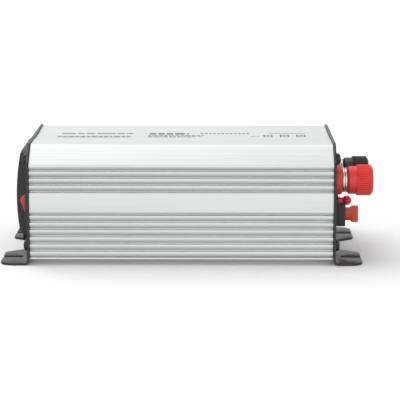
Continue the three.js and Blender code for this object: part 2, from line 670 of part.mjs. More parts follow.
// Finger guard punched in the plate: rings of curved slots round a plain middle.
function guardSlots() {
  return [[5.2, 8.2], [10, 13], [14.8, 17.8]].flatMap(([inner, outer], ring) => (
    [0, 1, 2, 3].map((quarter) => {
      const margin = 1.1 / inner;
      const turn = quarter * Math.PI / 2 + (ring % 2) * Math.PI / 4;
      const [start, end] = [turn + margin, turn + Math.PI / 2 - margin];
      const slot = new THREE.Shape();
      slot.absarc(FAN.y, FAN.z, outer, start, end);
      slot.absarc(FAN.y, FAN.z, inner, end, start, true);
      slot.closePath();
      return prism(slot, 'x', -SHEET - 1, 1, 2);
    })));
}

addPiece(batteryEnd, 'fan_frame', fanFrame(), BLACK_PLASTIC, fanAt);
addPiece(batteryEnd, 'fan_rotor', fanRotor(), BLACK_PLASTIC, fanAt);
fanCorners.forEach(([y, z], index) => {
  const screw = panHeadScrew(1.3, 2.8, 1.9, 9);
  addPiece(batteryEnd, `fan_screw_${index + 1}`, screw, BLACK_STEEL, [0, FAN.y + y, FAN.z + z]);
});

const batteryHoles = [
  rod(5, -SHEET - 1, 1, RED_Y, TERMINAL_Z),
  rod(5, -SHEET - 1, 1, BLACK_Y, TERMINAL_Z),
  rod(4.5, -SHEET - 1, 1, BREAKER.y, BREAKER.z),
  block([-SHEET - 1, 1], [FUSE.y - 4.7, FUSE.y + 4.7], [FUSE.z - 7.7, FUSE.z + 7.7]),
  ...fanCorners.map(([y, z]) => rod(1.6, -SHEET - 1, 1, FAN.y + y, FAN.z + z)),
  ...guardSlots(),
];
addPiece(batteryEnd, 'dc_end_plate', endPlate(...batteryHoles), BLACK_STEEL);
addPlateScrews(batteryEnd, 'dc');

// ---- Inside: board and what stands on it ---------------------------------------------------------

const boardFace = BOARD_TOP + GAP;

function standing(profile, x, y, segments = 16) {
  const points = profile.map(([radius, z]) => new THREE.Vector2(radius, z));
  const geometry = new THREE.LatheGeometry(points, segments);
  geometry.rotateX(Math.PI / 2);
  geometry.translate(x, y, boardFace);
  return toSolid(geometry);
}

function capacitor(radius, height, x, y) {
  return standing([
    [0, 0], [radius, 0], [radius, 2.5], [radius - 0.5, 3.2], [radius, 3.9], [radius, height - 0.6],
    [radius - 0.6, height], [0, height],
  ], x, y);
}

const transformer = { x: 18, y: 0, width: 40, length: 34, height: 32 };

// Two E-shaped ferrite halves: outer legs, yokes and a round middle leg inside the winding.
function transformerCore() {
  const { x, y, width, length, height } = transformer;
  const [w, l] = [width / 2, length / 2];
  const base = boardFace + 1.5;
  const whole = block([x - l, x + l], [y - w, y + w], [base, base + height]);
  const window = block([x - l - 1, x + l + 1], [y - w + 5, y + w - 5], [base + 5, base + height - 5]);
  const leg = block([x - 5, x + 5], [y - 5, y + 5], [base + 4, base + height - 4]);
  return join(cut(whole, window), leg);
}

function transformerWinding() {
  const { x, y, width, length, height } = transformer;
  const [w, l] = [width / 2 - 5 - GAP, length / 2 + 5];
  const base = boardFace + 1.5;
  const wound = prism(roundedOutline(x, y, 2 * l, 2 * w, 6), 'z', base + 5 + GAP,
    base + height - 5 - GAP, 4);
  const bore = block([x - 5 - GAP, x + 5 + GAP], [y - 5 - GAP, y + 5 + GAP], [base, base + height]);
  return cut(wound, bore);
}

function choke(x, y, radius, section) {
  const points = Array.from({ length: 9 }, (_, index) => {
    const angle = index * Math.PI / 4;
    return new THREE.Vector2(radius + section * Math.cos(angle), section * Math.sin(angle));
  });
  const geometry = new THREE.LatheGeometry(points, 16);
  geometry.rotateX(Math.PI / 2);
  geometry.translate(x, y, boardFace + section);
  return toSolid(geometry);
}

const TRANSISTOR_X = [-38, 44];
const transistorBase = boardFace + 4;

function transistor(x, side) {
  const y = [side * (INNER_FACE - 1.5 - GAP), side * (INNER_FACE - 6.3)];
  return block([x - 8, x + 8], y, [transistorBase, transistorBase + 20]);
}

// An angle strip that presses a row of transistors against the housing wall.
function clampBar(side) {
  const web = [side * (INNER_FACE - 6.6), side * (INNER_FACE - 8.6)];
  const flange = [side * (INNER_FACE - 7), side * (INNER_FACE - 11.6)];
  const x = [TRANSISTOR_X[0] - 12, TRANSISTOR_X[1] + 12];
  const top = transistorBase + 17;
  return join(block(x, web, [top - 11, top]), block(x, flange, [top - 1.5, top]));
}

function lead(points, radius) {
  const path = new THREE.CatmullRomCurve3(points.map((p) => new THREE.Vector3(...p)));
  const ring = new THREE.Shape();
  ring.absarc(0, 0, radius, 0, 2 * Math.PI);
  const settings = { steps: 14, curveSegments: 4, extrudePath: path, bevelEnabled: false };
  return toSolid(new THREE.ExtrudeGeometry(ring, settings));
}

addPiece(inverter, 'circuit_board', block([BOARD.x0, BOARD.x1], [-BOARD.halfWidth, BOARD.halfWidth],
  [BOARD_TOP - BOARD.thickness, BOARD_TOP]), [0x1f6b3a, 0, 0.5]);
addPiece(inverter, 'transformer_core', transformerCore(), [0x3a3a3c, 0.2, 0.6]);
addPiece(inverter, 'transformer_winding', transformerWinding(), [0xd2b13a, 0, 0.5]);
addPiece(inverter, 'input_capacitor', capacitor(9, 34, 51, 18), [0x27324d, 0.1, 0.4]);
addPiece(inverter, 'output_capacitor', capacitor(11, 38, -21, 0), [0x23262b, 0.1, 0.4]);
addPiece(inverter, 'output_choke', choke(-49, 0, 10, 4.5), [0xb5672c, 0.4, 0.4]);
[-1, 1].forEach((side, row) => {
  TRANSISTOR_X.forEach((x, column) => {
    const name = `power_transistor_${2 * row + column + 1}`;
    addPiece(inverter, name, transistor(x, side), BLACK_PLASTIC);
  });
  addPiece(inverter, side < 0 ? 'near_clamp_bar' : 'far_clamp_bar', clampBar(side), ALUMINIUM);
});

const studEnd = HOUSING_CENTRE_X + PLATE_FACE - 16;
for (const [name, y, color] of [['red_dc_lead', RED_Y, 0xb52a26], ['black_dc_lead', BLACK_Y, 0x242424]]) {
  const route = [
    [studEnd - 2 * GAP, y, TERMINAL_Z], [studEnd - 4, y, TERMINAL_Z],
    [studEnd - 11, y, TERMINAL_Z - 6], [studEnd - 14, y, TERMINAL_Z - 16],
    [studEnd - 14.5, y, boardFace + 8], [studEnd - 14.5, y, boardFace + 2 * GAP],
  ];
  addPiece(inverter, name, lead(route, 2.2), [color, 0, 0.5]);
}

export default inverter;
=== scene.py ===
import math

import bmesh
import bpy
from mathutils import Euler, Matrix, Vector


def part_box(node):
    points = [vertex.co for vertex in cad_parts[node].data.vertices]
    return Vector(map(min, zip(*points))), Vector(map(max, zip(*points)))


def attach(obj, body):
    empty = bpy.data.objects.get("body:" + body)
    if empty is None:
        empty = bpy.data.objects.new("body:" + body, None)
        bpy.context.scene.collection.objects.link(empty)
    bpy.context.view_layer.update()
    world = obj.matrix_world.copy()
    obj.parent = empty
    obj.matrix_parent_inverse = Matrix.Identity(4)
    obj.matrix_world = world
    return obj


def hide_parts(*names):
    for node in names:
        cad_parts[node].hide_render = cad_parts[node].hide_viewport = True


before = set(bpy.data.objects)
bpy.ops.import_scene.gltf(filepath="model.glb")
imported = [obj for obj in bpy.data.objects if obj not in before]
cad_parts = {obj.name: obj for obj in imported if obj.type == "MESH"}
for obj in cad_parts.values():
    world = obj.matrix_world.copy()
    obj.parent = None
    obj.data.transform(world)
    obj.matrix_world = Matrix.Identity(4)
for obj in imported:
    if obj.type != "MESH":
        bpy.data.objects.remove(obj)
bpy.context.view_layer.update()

# --- Housing shells ----------------------------------------------------------------------------
# Two aluminium extrusions, one over the other, drawn through a die so that every rib and step runs
# the whole length.  They are bead blasted, clear anodised and sawn off square.  Round ports along
# the inner corners take the end plates' screws, and two pairs of rails hold the board.


def node_box(node):
    """The lowest and highest corners of a piece in millimetres, as all the sizes here are."""
    return [[axis * 1000 for axis in corner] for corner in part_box(node)]


(shell_from, _, housing_bottom), (shell_to, half_width, _) = node_box("bottom_shell")
(_, _, seam), (_, _, housing_top) = node_box("top_shell")
groove = 2.7
inner_face = half_width - 4
rib_height = 3.9
band_top = 47.4
upper_pitch, lower_pitch = 4.57, 4.72
first_lower_crest = 32.6
shoulder_y, shoulder_z = 45.1, 65.3
channel_half, channel_depth = 20, 0.5
upper_port, lower_port = (48, 67.7), (50, 11.2)


def grain(material, scale, stretch=(1, 1, 1), detail=3):
    """Noise through the object's own space, drawn out along the axes where stretch is small."""
    tree = material.node_tree
    place = tree.nodes.new("ShaderNodeTexCoord")
    mapping = tree.nodes.new("ShaderNodeMapping")
    mapping.inputs["Scale"].default_value = stretch
    noise = tree.nodes.new("ShaderNodeTexNoise")
    noise.inputs["Scale"].default_value = scale
    noise.inputs["Detail"].default_value = detail
    tree.links.new(place.outputs["Object"], mapping.inputs["Vector"])
    tree.links.new(mapping.outputs["Vector"], noise.inputs["Vector"])
    return noise.outputs[0]


def between(material, pattern, low, high, start=0.3, end=0.7):
    """A pattern stretched to run from one number to another."""
    tree = material.node_tree
    ramp = tree.nodes.new("ShaderNodeMapRange")
    for socket, value in zip(("From Min", "From Max", "To Min", "To Max"), (start, end, low, high)):
        ramp.inputs[socket].default_value = value
    tree.links.new(pattern, ramp.inputs["Value"])
    return ramp.outputs["Result"]


def new_material(name, scale, dark, light, low, high, metallic=0, laid=(), sockets=()):
    """A finish whose two shades, and whose roughness, follow one noise."""
    material = bpy.data.materials.new(name)
    material.use_nodes = True
    tree = material.node_tree
    shader = tree.nodes["Principled BSDF"]
    for socket, value in (("Metallic", metallic), *sockets):
        shader.inputs[socket].default_value = value
    pattern = grain(material, scale, *laid)
    mix = tree.nodes.new("ShaderNodeMix")
    mix.data_type = "RGBA"
    mix.inputs["A"].default_value, mix.inputs["B"].default_value = (*dark, 1), (*light, 1)
    tree.links.new(between(material, pattern, 0, 1), mix.inputs["Factor"])
    tree.links.new(mix.outputs["Result"], shader.inputs["Base Color"])
    tree.links.new(between(material, pattern, low, high), shader.inputs["Roughness"])
    return material


def embossed(material, *layers):
    """Bumps one on top of the other, each with its noise's scale and its height in millimetres."""
    tree = material.node_tree
    below = None
    for scale, height, *laid in layers:
        bump = tree.nodes.new("ShaderNodeBump")
        bump.inputs["Distance"].default_value = height / 1000
        tree.links.new(grain(material, scale, *laid), bump.inputs["Height"])
        if below is not None:
            tree.links.new(below, bump.inputs["Normal"])
        below = bump.outputs["Normal"]
    tree.links.new(below, tree.nodes["Principled BSDF"].inputs["Normal"])


def new_piece(name, solid):
    """An object out of one or more meshes under construction, still in millimetres."""
    mesh = bpy.data.meshes.new(name)
    solids = solid if isinstance(solid, list) else [solid]
    for extra in solids[1:]:
        extra.to_mesh(mesh)
        extra.free()
        solids[0].from_mesh(mesh)
    solids[0].to_mesh(mesh)
    solids[0].free()
    piece = bpy.data.objects.new(name, mesh)
    bpy.context.collection.objects.link(piece)
    return piece


def finished(piece, nodes, material=None, body="root", crease=32):
    """Brings a piece to metres, shades it, dresses it and puts it in the place of its nodes."""
    piece.data.transform(Matrix.Scale(0.001, 4))
    if material is not None:
        piece.data.materials.clear()
        piece.data.materials.append(material)
    piece.data.shade_smooth()
    piece.data.set_sharp_from_angle(angle=math.radians(crease))
    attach(piece, body)
    if nodes:
        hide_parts(*nodes)


def bake(piece):
    """Turns a piece's modifiers into its mesh."""
    evaluated = piece.evaluated_get(bpy.context.evaluated_depsgraph_get())
    mesh = bpy.data.meshes.new_from_object(evaluated)
    piece.modifiers.clear()
    worn, piece.data = piece.data, mesh
    bpy.data.meshes.remove(worn)
    return piece


def eased(corners, radius=0.0, closed=True, steps=3):
    """An outline with its corners rounded.  A corner may bring its own radius as a third number."""
    drawn = []
    count = len(corners)
    for index, (u, v, *own) in enumerate(corners):
        corner, size = Vector((u, v)), own[0] if own else radius
        before = Vector(corners[index - 1][:2]) - corner
        after = Vector(corners[(index + 1) % count][:2]) - corner
        inset = min(size, before.length * 0.48, after.length * 0.48)
        if inset < 1e-4 or (not closed and index in (0, count - 1)):
            drawn.append((u, v))
            continue
        start, end = corner + before.normalized() * inset, corner + after.normalized() * inset
        for step in range(steps + 1):
            t = step / steps
            drawn.append(tuple((1 - t) ** 2 * start + 2 * t * (1 - t) * corner + t * t * end))
    return drawn


def prism(outline, axis, low, high):
    """A solid of one section.  The section's two numbers are the other two axes, in order."""
    bm = bmesh.new()
    across = {"x": (1, 2), "y": (0, 2), "z": (0, 1)}[axis]
    rings = []
    for level in (low, high):
        ring = []
        for u, v in outline:
            place = [level] * 3
            place[across[0]], place[across[1]] = u, v
            ring.append(bm.verts.new(place))
        rings.append(ring)
    for index in range(len(outline)):
        after = (index + 1) % len(outline)
        bm.faces.new([rings[0][index], rings[0][after], rings[1][after], rings[1][index]])
    bm.faces.new(rings[0])
    bm.faces.new(rings[1])
    bmesh.ops.recalc_face_normals(bm, faces=bm.faces)
    return bm


def slab(xs, ys, zs, ease=0.0):
    """A straight-sided block, its long edges eased."""
    (y0, y1), (z0, z1) = sorted(ys), sorted(zs)
    return prism(eased([(y0, z0), (y1, z0), (y1, z1), (y0, z1)], ease), "x", *sorted(xs))


def centred(xs, y, z, half_y, half_z, ease=0.0):
    return slab(xs, (y - half_y, y + half_y), (z - half_z, z + half_z), ease)


def turned(profile, y=0, z=0, steps=64, closed=False):
    """A turned piece on an axis along X, from points that give a radius and a place in X."""
    bm = bmesh.new()
    turns = [2 * math.pi * step / steps for step in range(steps)]
    rings = []
    for radius, x in profile:
        spots = [(0, 0)] if radius < 1e-6 else [
            (radius * math.cos(turn), radius * math.sin(turn)) for turn in turns]
        rings.append([bm.verts.new((x, y + across, z + up)) for across, up in spots])
    for one, two in zip(rings, rings[1:] + rings[:1] if closed else rings[1:]):
        for step in range(steps):
            loop = [one[step % len(one)], one[(step + 1) % steps % len(one)],
                    two[(step + 1) % steps % len(two)], two[step % len(two)]]
            loop = list(dict.fromkeys(loop))
            if len(loop) > 2:
                bm.faces.new(loop)
    bmesh.ops.recalc_face_normals(bm, faces=bm.faces)
    return bm


def tube(outer, inner, x0, x1, y=0, z=0, steps=64, ease=0.0):
    section = [(inner, x0), (outer, x0), (outer, x1), (inner, x1)]
    return turned(eased(section, ease), y, z, steps, closed=True)


def rod(radius, x0, x1, y, z, steps):
    return turned([(0, x0), (radius, x0), (radius, x1), (0, x1)], y, z, steps)


def mirrored(half):
    return half + [(-y, z, *own) for y, z, *own in reversed(half)]


class NodeTree:
    """A geometry node tree under construction, with named inputs for its sizes."""

    def __init__(self, name, **inputs):
        self.group = bpy.data.node_groups.new(name, "GeometryNodeTree")
        face = self.group.interface
        face.new_socket("Geometry", in_out="INPUT", socket_type="NodeSocketGeometry")
        self.values = {}
        for label, (kind, value) in inputs.items():
            socket = face.new_socket(label.replace("_", " "), in_out="INPUT",
                                     socket_type="NodeSocket" + kind)
            self.values[socket.identifier] = value
        face.new_socket("Geometry", in_out="OUTPUT", socket_type="NodeSocketGeometry")
        self.start = self.group.nodes.new("NodeGroupInput")
        self.end = self.group.nodes.new("NodeGroupOutput")

    def input(self, label):
        return self.start.outputs[label]

    def add(self, kind, settings=None, inputs=None):
        """Adds a node and returns its first output.  An input is a value, a socket or a list."""
        node = self.group.nodes.new(kind)
        for key, value in (settings or {}).items():
            setattr(node, key, value)
        for label, value in (inputs or {}).items():
            for item in value if isinstance(value, list) else [value]:
                if isinstance(item, bpy.types.NodeSocket):
                    self.group.links.new(item, node.inputs[label])
                else:
                    node.inputs[label].default_value = item
        return node.outputs[0]

    def model(self, label):
        """The geometry of the object behind an input."""
        info = self.group.nodes.new("GeometryNodeObjectInfo")
        self.group.links.new(self.input(label), info.inputs["Object"])
        return info.outputs["Geometry"]

    def run(self, piece, geometry, material):
        """Closes the tree, runs it on the piece and leaves the result there as a plain mesh."""
        real = self.add("GeometryNodeRealizeInstances", inputs={"Geometry": geometry})
        dressed = self.add("GeometryNodeSetMaterial", inputs={
            "Geometry": real, "Material": material})
        self.group.links.new(dressed, self.end.inputs[0])
        modifier = piece.modifiers.new(self.group.name, "NODES")
        modifier.node_group = self.group
        for identifier, value in self.values.items():
            modifier[identifier] = value
        return bake(piece)


anodised = new_material("blasted_anodised_aluminium", 420, (0.72, 0.735, 0.73),
                        (0.8, 0.81, 0.805), 0.46, 0.54, 0.6, ((0.02, 1, 1), 4))
embossed(anodised, (900, 0.01, (0.004, 1, 1), 2), (2600, 0.02, (1, 1, 1), 2))


def swept_under(drop, inset, steps=8):
    """The face of a rib: upright below its crest, then curving in under itself."""
    return [(inset * (1 - math.cos(turn)), drop * math.sin(turn))
            for turn in (math.pi / 2 * step / steps for step in range(steps + 1))]


def ribbed(name, wall, extras, crest, count, pitch):
    """The wall of one extrusion, with its row of ribs set along both sides by a node tree."""
    piece = new_piece(name, [prism(wall, "x", shell_from, shell_to), *extras])
    outline = bmesh.new()
    face = [(depth, 0.6 + down) for depth, down in swept_under(rib_height - 0.6, groove - 0.1)]
    corners = [outline.verts.new((depth, down, 0)) for depth, down in eased(
        [(groove + 0.3, 0), (0, 0, 0.9), *face, (groove + 0.3, rib_height)])]
    for one, two in zip(corners, corners[1:] + corners[:1]):
        outline.edges.new((one, two))
    outline = new_piece(name + "_rib_section", outline)
    tree = NodeTree(
        name + "_ribs", Section=("Object", outline), Ribs=("Int", count), Pitch=("Float", pitch),
        First_crest=("Vector", (0, half_width, crest)), Length=("Float", shell_to - shell_from))
    section = tree.add("GeometryNodeMeshToCurve", inputs={"Mesh": tree.model("Section")})
    end = tree.add("ShaderNodeCombineXYZ", inputs={"X": tree.input("Length")})
    line = tree.add("GeometryNodeCurvePrimitiveLine", inputs={"End": end})
    rib = tree.add("GeometryNodeCurveToMesh", inputs={
        "Curve": line, "Profile Curve": section, "Fill Caps": True})
    down = tree.add("ShaderNodeMath", {"operation": "MULTIPLY"}, {0: tree.input("Pitch"), 1: -1.0})
    step = tree.add("ShaderNodeCombineXYZ", inputs={"Z": down})
    row = tree.add("GeometryNodeMeshLine", inputs={
        "Count": tree.input("Ribs"), "Start Location": tree.input("First crest"), "Offset": step})
    ribs = tree.add("GeometryNodeInstanceOnPoints", inputs={"Points": row, "Instance": rib})
    far = tree.add("GeometryNodeTransform", inputs={
        "Geometry": ribs, "Translation": (shell_from, 0, 0)})
    near = tree.add("GeometryNodeTransform", inputs={
        "Geometry": ribs, "Translation": (shell_to, 0, 0), "Rotation": Euler((0, 0, math.pi))})
    both = tree.add("GeometryNodeJoinGeometry", inputs={
        "Geometry": [near, far, tree.input("Geometry")]})
    piece = tree.run(piece, both, anodised)
    bpy.data.objects.remove(outline)
    return piece


def screw_ports(y, z):
    return [tube(3.9, 2.2, shell_from, shell_to, side * y, z, 32) for side in (1, -1)]


root = half_width - groove
first_groove = band_top + 3 * upper_pitch
top_wall = eased(mirrored([
    (channel_half - 0.25, housing_top - channel_depth), (channel_half + 0.25, housing_top, 0.2),
    (shoulder_y, housing_top, 1.6), (half_width, shoulder_z, 0.7),
    *[(half_width - depth, first_groove + 3.4 - down)
      for depth, down in swept_under(2.7, groove - 0.1)],
    (root, first_groove + 0.7), (root, band_top, 0.2), (half_width, band_top, 0.5),
    (half_width, seam + 1.5), (half_width - 0.1, seam + 0.8), (half_width - 0.6, seam, 0.2),
    (inner_face, seam),
    (inner_face, 64.8), (44.7, housing_top - 2.7)]), steps=6)
upper_shell = ribbed("upper_extrusion", top_wall, screw_ports(*upper_port), first_groove, 3,
                     upper_pitch)
finished(upper_shell, ["top_shell"], crease=40)

floor_top = housing_bottom + 2.4
seat = seam - 0.3
bottom_wall = eased(mirrored([
    (inner_face, floor_top), (inner_face, seat - 4), (inner_face - 1.5, seat - 2.5),
    (inner_face - 1.5, seat + 3.75), (inner_face - 0.3, seat + 3.75), (inner_face - 0.3, seat),
    (root, seat), (root, housing_bottom + 1.2), (half_width - 0.6, housing_bottom + 1.2, 0.5),
    (half_width - 0.6, housing_bottom, 0.4)]), steps=6)
board_rails = [slab((shell_from, shell_to), (side * (inner_face + 0.5), side * (inner_face - 3.5)),
                    (z, z + 1.5), 0.3) for side in (1, -1) for z in (13.5, 17.2)]
webs = [slab((shell_from, shell_to), (side * 50 - 1.2, side * 50 + 1.2), (floor_top - 1, 8))
        for side in (1, -1)]
lower_shell = ribbed("lower_extrusion", bottom_wall,
                     [*screw_ports(*lower_port), *board_rails, *webs], first_lower_crest, 6,
                     lower_pitch)
finished(lower_shell, ["bottom_shell"], crease=40)

# --- Printed panel -------------------------------------------------------------------------------
# The shallow channel along the top is screen printed in dark grey, one thin layer of ink.  It
# carries no words: rows of plain bars stand for the rating and generic signs for the small print.

ink = new_material("screen_print_ink", 1500, (0.05, 0.05, 0.052), (0.11, 0.11, 0.112), 0.5, 0.65)
channel_face = housing_top - channel_depth


def printed(marks):
    """Flat ink marks, each given by its two ends in X and Y."""
    return [slab((x0, x1), (y0, y1), (channel_face - 0.05, channel_face + 0.04))
            for x0, x1, y0, y1 in marks]


def bars(x0, x1, y0, y1, lengths, gap):
    """A broken row of bars of uneven length."""
    marks, x, index = [], x0, 0
    while x < x1 - 0.8:
        end = min(x + lengths[index % len(lengths)], x1)
        marks.append((x, end, y0, y1))
        x, index = end + gap, index + 1
    return marks


panel = []
for row in ((-85.3, -37.8, 6.6, 9.8, (9, 4.5, 6, 12, 5), 1.4),
            (-87.2, -38.6, -5.6, -3.2, (3.2, 1.8, 4.4, 2.6), 0.8),
            (-87.2, -39, -9.6, -7.4, (2.2, 4.0, 3.0), 0.8),
            (-26.3, -0.1, 4.0, 10.0, (4.2, 4.2, 4.2, 6.4), 1.5),
            (-27, 10, -1.8, 0, (2.0, 3.6, 2.8), 0.8), (-27, 9, -5.6, -3.8, (3.4, 2.2, 1.6), 0.8),
            (-27, 2, -9.2, -7.6, (2.6, 4.2, 1.8), 0.8), (8, 42, 6.6, 9.8, (1.7,), 1.1),
            (54, 79, 8.6, 9.8, (25,), 1.0), (41, 47, -6.4, -5.0, (4, 1.5), 0.8)):
    panel += bars(*row)
for x in (50, 61, 72):
    panel += [(x, x + 6, 0.6, 1.6), (x, x + 6, -6.4, -5.4), (x, x + 1, -6.4, 1.6),
              (x + 5, x + 6, -6.4, 1.6), (x + 2, x + 4, -3.6, -1.2)]
finished(new_piece("printed_panel", printed(panel)), [], ink)

# --- End plates ----------------------------------------------------------------------------------
# Steel sheet, 1.6 mm thick, blanked with all its holes and then bent outwards at the bottom into
# two feet, with a small relief cut beside each bend.  Each foot has an open slot for a fixing
# screw.  The plates are powder coated black after bending.

sheet = 1.6
bend_radius = 2.2
bend_top = sheet + bend_radius
bend_run = (bend_radius + sheet / 2) * math.pi / 2
foot_length, slot_y, slot_start, slot_half = 17.7, 40, 4.2, 2.75
mains_back, plate_side, plate_top = node_box("ac_end_plate")[1]
mains_face = mains_back - sheet
battery_face = node_box("dc_end_plate")[0][0] + sheet
plate_screw_places = [(side * y, z) for y, z in (upper_port, lower_port) for side in (1, -1)]


def laid_flat(x):
    """Where a point of the foot, so far out from the plate, lies on the unbent blank."""
    return bend_top - bend_run - (x - bend_radius)


def arc(u, v, radius, start, end, steps=12):
    return [(u + radius * math.cos(start + (end - start) * step / steps),
             v + radius * math.sin(start + (end - start) * step / steps))
            for step in range(steps + 1)]


def ring(u, v, radius, steps=40):
    return arc(u, v, radius, 0, 2 * math.pi, steps)[:-1]


def rounded_box(u, v, width, height, radius, steps=6):
    w, h = width / 2, height / 2
    return eased([(u - w, v - h), (u + w, v - h), (u + w, v + h), (u - w, v + h)], radius,
                 steps=steps)


tip = laid_flat(foot_length)
slot_arc = arc(slot_y, laid_flat(slot_start + slot_half), slot_half, math.pi, 0)
half_blank = [
    (10.3, 2.8, 0.3), (10.3, 4.6, 0.6), (11.9, 4.6, 0.6), (11.9, bend_top),
    (13.5, laid_flat(bend_radius)), (24.1, laid_flat(foot_length - 1.5), 0.8), (26.5, tip, 0.8),
    (slot_y - slot_half, tip, 0.6), *slot_arc, (slot_y + slot_half, tip, 0.6),
    *arc(plate_side - 8, laid_flat(foot_length - 8), 8, -math.pi / 2, 0),
    (plate_side, 65.79, 1.2), (45.43, plate_top, 1.2)]
blank = eased(mirrored(half_blank), steps=4)


def sheet_metal(outline, holes, thickness, edge):
    """A flat sheet with its holes, every edge eased.  It lies in X and Y."""
    flat = bpy.data.curves.new("blank", "CURVE")
    flat.dimensions, flat.fill_mode = "2D", "BOTH"
    flat.extrude = thickness / 2 - edge
    flat.bevel_depth, flat.bevel_resolution, flat.offset = edge, 1, -edge
    for loop in [outline, *[hole[::-1] for hole in holes]]:
        spline = flat.splines.new("POLY")
        spline.points.add(len(loop) - 1)
        for point, (u, v) in zip(spline.points, loop):
            point.co = (u, v, 0, 1)
        spline.use_cyclic_u = True
    holder = bpy.data.objects.new("blank", flat)
    bpy.context.collection.objects.link(holder)
    evaluated = holder.evaluated_get(bpy.context.evaluated_depsgraph_get())
    mesh = bpy.data.meshes.new_from_object(evaluated)
    bm = bmesh.new()
    bm.from_mesh(mesh)
    bmesh.ops.remove_doubles(bm, verts=bm.verts, dist=1e-4)
    bpy.data.objects.remove(holder)
    bpy.data.meshes.remove(mesh)
    return bm


def end_plate(name, holes, face, facing):
    """Cuts the blank along the bends, folds the feet and stands it up facing its own way."""
    bm = sheet_metal(blank, [ring(y, z, 2.2) for y, z in plate_screw_places] + holes, sheet, 0.22)
    for step in range(9):
        bmesh.ops.bisect_plane(bm, geom=bm.verts[:] + bm.edges[:] + bm.faces[:],
                               plane_co=(0, bend_top - bend_run * step / 8, 0), plane_no=(0, 1, 0))
    for vertex in bm.verts:
        y, along, depth = vertex.co
        out, up = depth - sheet / 2, along
        past = bend_top - along
        if abs(y) > 11 and past > 0:
            radius = bend_radius - out
            turn = min(past / bend_run, 1) * math.pi / 2
            out = bend_radius - radius * math.cos(turn) + max(past - bend_run, 0)
            up = bend_top - radius * math.sin(turn)
        vertex.co = (face + facing * out, facing * y, up)
    bmesh.ops.recalc_face_normals(bm, faces=bm.faces)
    return new_piece(name, bm)


powder = new_material("black_powder_coat", 300, (0.009, 0.009, 0.01), (0.017, 0.017, 0.018),
                      0.28, 0.38)
embossed(powder, (1100, 0.05, (1, 1, 1), 2))

socket_z, recess_radius = 40, 19.5
switch_place, port_place, lamp_places = (45, 37.5), (-45, 50), [(-45, 34), (-45, 26)]
fascia_screw_places = [(-26.5, 63), (26.5, 22.4)]
mains_holes = [
    ring(0, socket_z, recess_radius + 2.3, 72),
    rounded_box(*switch_place, 9.6, 15, 0.5), rounded_box(*port_place, 7.8, 15.2, 0.9),
    *[ring(y, z, 1.9, 24) for y, z in lamp_places],
    *[ring(y, z, 1.6, 20) for y, z in fascia_screw_places]]
finished(end_plate("mains_end_plate", mains_holes, mains_face, -1), ["ac_end_plate"],
         powder)

red_place, black_place, terminal_z = -30, 6, 51
breaker_place, fuse_place, fan_place = (-13, 34.3), (0, 22.8), (34, 42)
fan_corners = [(fan_place[0] + y, fan_place[1] + z) for y in (-16, 16) for z in (-16, 16)]
guard = []
for row, (near, far) in enumerate(((5.2, 8.2), (10, 13), (14.8, 17.8))):
    for quarter in range(4):
        turn, margin = quarter * math.pi / 2 + (row % 2) * math.pi / 4, 1.1 / near
        start, end = turn + margin, turn + math.pi / 2 - margin
        slot = arc(*fan_place, far, start, end, 14) + arc(*fan_place, near, end, start, 14)
        guard.append(eased(slot, 0.5))
battery_holes = [
    ring(red_place, terminal_z, 5), ring(black_place, terminal_z, 5), ring(*breaker_place, 4.5),
    rounded_box(*fuse_place, 9.4, 15.4, 0.5), *[ring(y, z, 1.6, 20) for y, z in fan_corners],
    *guard]
finished(end_plate("battery_end_plate", battery_holes, battery_face, 1), ["dc_end_plate"],
         powder)

# --- Screws --------------------------------------------------------------------------------------
# Black zinc plated pan-head screws with a cross recess: four M4 ones hold each plate to the
# extrusions, four smaller ones the fan and two the socket fascia.


def carved(name, solid, steps, ease=0.0, rounds=2):
    """A solid cut by others in turn, or joined to those given with UNION, then eased."""
    piece = new_piece(name, solid)
    for step in steps:
        operation, tool = step if isinstance(step, tuple) else ("DIFFERENCE", step)
        cutter = new_piece("tool", tool)
        work = piece.modifiers.new("work", "BOOLEAN")
        work.operation, work.object, work.solver = operation, cutter, "EXACT"
        bake(piece)
        bpy.data.objects.remove(cutter)
    if ease:
        edges = piece.modifiers.new("ease", "BEVEL")
        edges.width, edges.segments = ease, rounds
        edges.limit_method, edges.angle_limit = "ANGLE", math.radians(28)
        bake(piece)
    return piece


def pan_head(name, shank, head, height, length):
    """One screw at the origin, its head towards +X and 0.3 mm off the face it holds."""
    crown = [(0, -length), (shank * 0.7, -length, 0), (shank, -length + 0.8),
             (shank, 0.3), (head, 0.3, 0.2), (head, 0.3 + height * 0.5, height * 0.35),
             (head * 0.62, 0.3 + height * 0.96, 1), (0, 0.3 + height)]
    arm, width = head * 0.52, head * 0.17
    cross = [(-arm, -width), (-width, -width), (-width, -arm), (width, -arm), (width, -width),
             (arm, -width), (arm, width), (width, width), (width, arm), (-width, arm),
             (-width, width), (-arm, width)]
    recess = prism(eased(cross, 0.12), "x", 0.3 + height * 0.25, height + 1)
    for vertex in recess.verts:
        if vertex.co.x < height:
            vertex.co.y, vertex.co.z = vertex.co.y * 0.45, vertex.co.z * 0.45
    return carved(name, turned(eased(crown, closed=False, steps=4), steps=40), [recess])


black_zinc = new_material("black_zinc", 900, (0.022, 0.022, 0.024), (0.05, 0.05, 0.052),
                          0.28, 0.45, 0.6)
embossed(black_zinc, (2500, 0.02))


